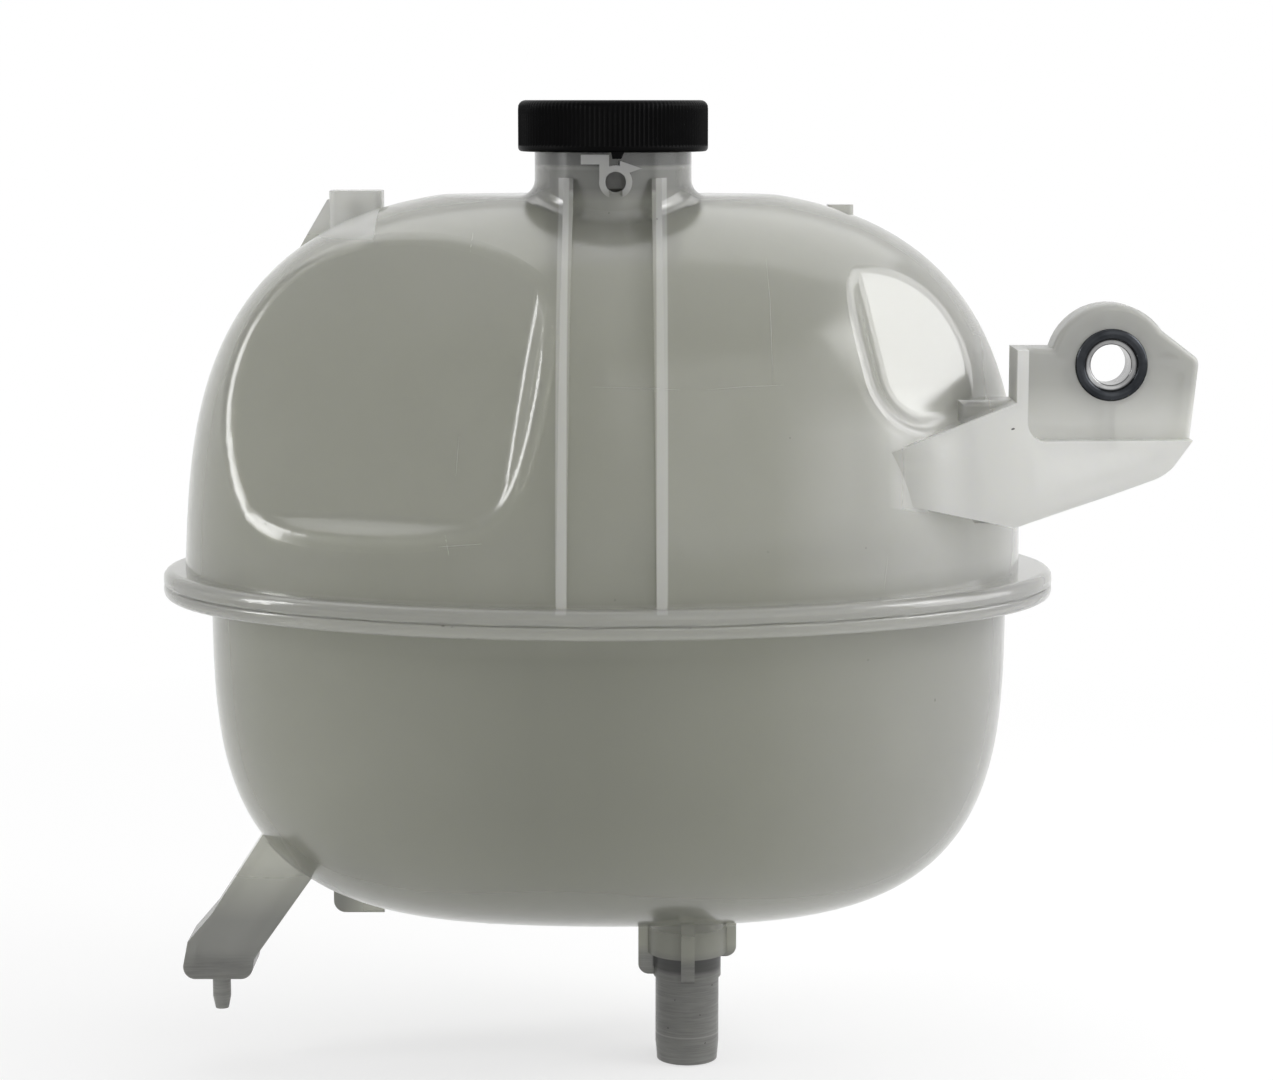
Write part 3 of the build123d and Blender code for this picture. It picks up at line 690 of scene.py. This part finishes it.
cap_piece()
bush_piece()
coil(
    "pressure_coil",
    "pressure_spring",
    radius=0.0076,
    wire=0.0008,
    turns=4.5,
)
coil(
    "vacuum_coil",
    "vacuum_spring",
    radius=0.0022,
    wire=0.0002,
    turns=4.0,
)
thread(
    "neck_thread",
    "tank",
    natural,
    base=0.0247,
    crest=0.0262,
    start_z=thread_start,
)
thread(
    "cap_thread",
    "cap",
    cap_black,
    base=0.0271,
    crest=0.0257,
    start_z=thread_start + thread_pitch * cap_phase,
)
weld_flash()

# Camera at the photograph's place, whose picture is 1273 by 1080
eye = Vector((-0.1466, -0.968, 0.081))
pitch_down = radians(8.08)
picture_wide, picture_high = 1273, 1080
focal_pixels = 3099
lens, sensor_width = 87.64, 36.0

# Small marks: each sits on the moulding where a ray from the camera's place meets it
ahead = Vector((0, cos(pitch_down), -sin(pitch_down)))
above = Vector((0, sin(pitch_down), cos(pitch_down)))
shells = []
for shell_name in ("upper_shell", "lower_shell"):
    shell_mesh = nodes[shell_name].data
    corners = [v.co.copy() for v in shell_mesh.vertices]
    shells.append(BVHTree.FromPolygons(corners, [tuple(p.vertices) for p in shell_mesh.polygons]))


def meet(x, y):
    """Point and normal of the moulding under a place in the picture, with its distance, or None."""
    right = (x - picture_wide / 2) / focal_pixels
    up = (picture_high / 2 - y) / focal_pixels
    way = (ahead + Vector((1, 0, 0)) * right + above * up).normalized()
    best = None
    for tree in shells:
        point, normal, _, distance = tree.ray_cast(eye, way)
        if point is not None and (best is None or distance < best[2]):
            best = (point, normal if normal.dot(way) < 0 else -normal, distance)
    return best


# Scratches, and lines of painted reflection: a path of picture places in pixels, and a width in millimetres
scratch_and_reflection_paths = (
    (((473, 233), (470, 252)), 0.25),
    (((459, 436), (456, 476)), 0.175),
    (((438, 547), (482, 544)), 0.2),
    (((445, 535), (449, 556)), 0.15),
    # painted reflection: the next three paths are pale lines of a reflection on the dome's front
    (((766, 258), (770, 300), (773, 382)), 0.175),
    (((592, 387), (640, 388), (680, 390)), 0.175),
    (((706, 390), (740, 387), (784, 385)), 0.175),
    (((888, 556), (884, 590)), 0.15),
    (((1001, 640), (998, 700)), 0.2),
)
strip_step = 5  # pixels
strip_edge, strip_lift = 0.00001, 0.00005
strip_end, strip_tip = 0.12, 0.15  # how wide the ends stay, and how far they stop before a point


def raised_strip(work, path, width):
    """Thin raised strip along a path of picture places, pointed at both ends."""
    places = []
    for (xa, ya), (xb, yb) in zip(path, path[1:]):
        steps = max(2, int(max(abs(xb - xa), abs(yb - ya)) / strip_step))
        places += [(xa + (xb - xa) * k / steps, ya + (yb - ya) * k / steps) for k in range(steps)]
    hits = [found for found in (meet(*place) for place in places + [path[-1]]) if found]
    rows = []
    for i, (point, normal, _) in enumerate(hits):
        along = (hits[min(i + 1, len(hits) - 1)][0] - hits[max(i - 1, 0)][0]).normalized()
        swell = sin(pi * (i + strip_tip) / (len(hits) - 1 + 2 * strip_tip))
        half = normal.cross(along).normalized() * width / 2 * (strip_end + (1 - strip_end) * swell)
        foot = point + normal * strip_edge
        row = (foot - half, point + normal * strip_lift, foot + half)
        rows.append([work.verts.new(corner) for corner in row])
    for low, high in zip(rows, rows[1:]):
        for i in range(2):
            work.faces.new((low[i], low[i + 1], high[i + 1], high[i]))


# Specks of dirt: a picture place in pixels, a width and height in millimetres, and a turn in radians
speck_places = (
    (443, 626, 1.6, 0.5, 0.1),
    (468, 639, 1.9, 0.45, 0.0),
    (420, 605, 0.9, 0.7, 0.4),
    (1013, 429, 1.6, 0.7, 0.2),
    (452, 627, 0.8, 0.4, 0.3),
    (609, 213, 0.5, 0.5, 0.0),
    (657, 219, 0.6, 0.6, 0.5),
    (790, 438, 0.5, 0.5, 0.0),
    (768, 552, 0.45, 0.5, 0.3),
    (615, 600, 0.6, 0.4, 0.0),
    (866, 548, 0.5, 0.5, 0.0),
    (476, 190, 1.1, 0.5, 0.1),
    (540, 640, 0.7, 0.3, 0.0),
    (690, 628, 0.9, 0.3, 0.0),
    (868, 660, 0.5, 0.6, 0.2),
    (935, 700, 0.4, 1.4, 0.0),
    (712, 985, 0.8, 0.5, 0.2),
    (675, 1000, 0.7, 0.4, 0.5),
    (700, 1015, 0.5, 0.5, 0.1),
    (668, 1028, 0.9, 0.35, 0.0),
    (705, 1043, 0.8, 0.4, 0.3),
)
speck_sides = 9
speck_edge, speck_lift = 0.00002, 0.00012


def speck(work, x, y, width, height, turn, seed):
    """Low uneven cone on the moulding under a place in the picture."""
    found = meet(x, y)
    if not found:
        return
    point, normal, _ = found
    side = normal.cross(Vector((0, 0, 1))).normalized()
    up = side.cross(normal).normalized()
    rim = []
    for k, a in enumerate(full_turn(speck_sides)):
        grow = 0.75 + 0.25 * sin(3.1 * k + seed)
        u, v = width / 2 * cos(a) * grow, height / 2 * sin(a) * grow
        across = u * cos(turn) - v * sin(turn)
        along = u * sin(turn) + v * cos(turn)
        rim.append(work.verts.new(point + normal * speck_edge - side * across + up * along))
    top = work.verts.new(point + normal * speck_lift)
    for k in range(speck_sides):
        work.faces.new((rim[k], rim[(k + 1) % speck_sides], top))


millimetre = 0.001
marks = bmesh.new()
for seed, (x, y, width, height, turn) in enumerate(speck_places):
    speck(marks, x, y, width * millimetre, height * millimetre, turn, seed)
piece("dirt_specks", marks, dirt, "tank")

# Scratches and lines of painted reflection
marks = bmesh.new()
for path, width in scratch_and_reflection_paths:
    raised_strip(marks, path, width * millimetre)
piece("scratch_and_reflection_lines", marks, worn_and_reflection, "tank")

# Floor, background and lamps
floor_half, floor_gap = 6.0, 0.0005
floor_fade = (0.15, 0.75)  # distance over which the floor runs out to the white background
floor_glow = (0.62, 1.0)
world_seen, world_light = 1.0, 0.42
white = (1.0, 1.0, 1.0, 1.0)


def floor_material():
    """White floor that keeps the shadow near the tank and runs out to the white background."""
    mat, tree, shader = material("floor_white")
    shader.inputs["Base Color"].default_value = (0.9, 0.9, 0.9, 1.0)
    shader.inputs["Roughness"].default_value = 0.9
    shader.inputs["Specular IOR Level"].default_value = 0.0
    glow = node(tree, "ShaderNodeEmission")
    mixed = node(tree, "ShaderNodeMixShader")
    far = node(tree, "ShaderNodeVectorMath", operation="LENGTH")
    tree.links.new(object_coords(tree), far.inputs[0])
    share = spread(tree, far.outputs["Value"], *floor_glow, *floor_fade)
    tree.links.new(math(tree, "MULTIPLY", share, seen_rays(tree)), mixed.inputs["Fac"])
    tree.links.new(shader.outputs["BSDF"], mixed.inputs[1])
    tree.links.new(glow.outputs["Emission"], mixed.inputs[2])
    out = next(n for n in tree.nodes if n.type == "OUTPUT_MATERIAL")
    tree.links.new(mixed.outputs["Shader"], out.inputs["Surface"])
    return mat


def background(tree, strength):
    made = node(tree, "ShaderNodeBackground")
    made.inputs["Color"].default_value = white
    made.inputs["Strength"].default_value = strength
    return made.outputs[0]


def lamp(name, place, size, power):
    """Rectangular lamp that points at the tank's middle."""
    data = bpy.data.lights.new(name, "AREA")
    data.shape = "RECTANGLE"
    data.size, data.size_y = size
    data.energy = power
    made = bpy.data.objects.new(name, data)
    made.location = place
    made.rotation_mode = "QUATERNION"
    made.rotation_quaternion = (tank - Vector(place)).to_track_quat("-Z", "Y")
    bpy.context.scene.collection.objects.link(made)
    return made


floor_mesh = bpy.data.meshes.new("floor")
work = bmesh.new()
bmesh.ops.create_grid(work, x_segments=1, y_segments=1, size=floor_half)
work.to_mesh(floor_mesh)
work.free()
floor = bpy.data.objects.new("floor", floor_mesh)
floor.location = (tank.x, tank.y, cad_box[0][2] - floor_gap)
floor_mesh.materials.append(floor_material())
bpy.context.scene.collection.objects.link(floor)

world = bpy.data.worlds.new("studio")
bpy.context.scene.world = world
world.use_nodes = True
sky = world.node_tree
sky.nodes.clear()
world_out = sky.nodes.new("ShaderNodeOutputWorld")
mix = sky.nodes.new("ShaderNodeMixShader")
sky.links.new(seen_rays(sky), mix.inputs["Fac"])
sky.links.new(background(sky, world_light), mix.inputs[1])
sky.links.new(background(sky, world_seen), mix.inputs[2])
sky.links.new(mix.outputs[0], world_out.inputs["Surface"])

lamp("right_wide", (1.05, -0.10, 0.55), (1.0, 1.1), 12.0)
lamp("right_core", (0.82, -0.24, 0.60), (0.30, 0.42), 1.9)
lamp("left_strip", (-1.28, -0.22, 0.36), (0.22, 0.60), 4.4)
lamp("top", (-0.20, 0.44, 1.20), (2.2, 1.1), 9.0)
lamp("front_fill", (0.80, -1.70, 0.75), (1.8, 1.8), 6.5)

camera_data = bpy.data.cameras.new("camera")
camera_data.lens = lens
camera_data.sensor_width = sensor_width
camera = bpy.data.objects.new("camera", camera_data)
camera.location = eye
camera.rotation_euler = (radians(90.0) - pitch_down, 0.0, 0.0)
bpy.context.scene.collection.objects.link(camera)
bpy.context.scene.camera = camera
bpy.context.scene.view_settings.view_transform = "Standard"
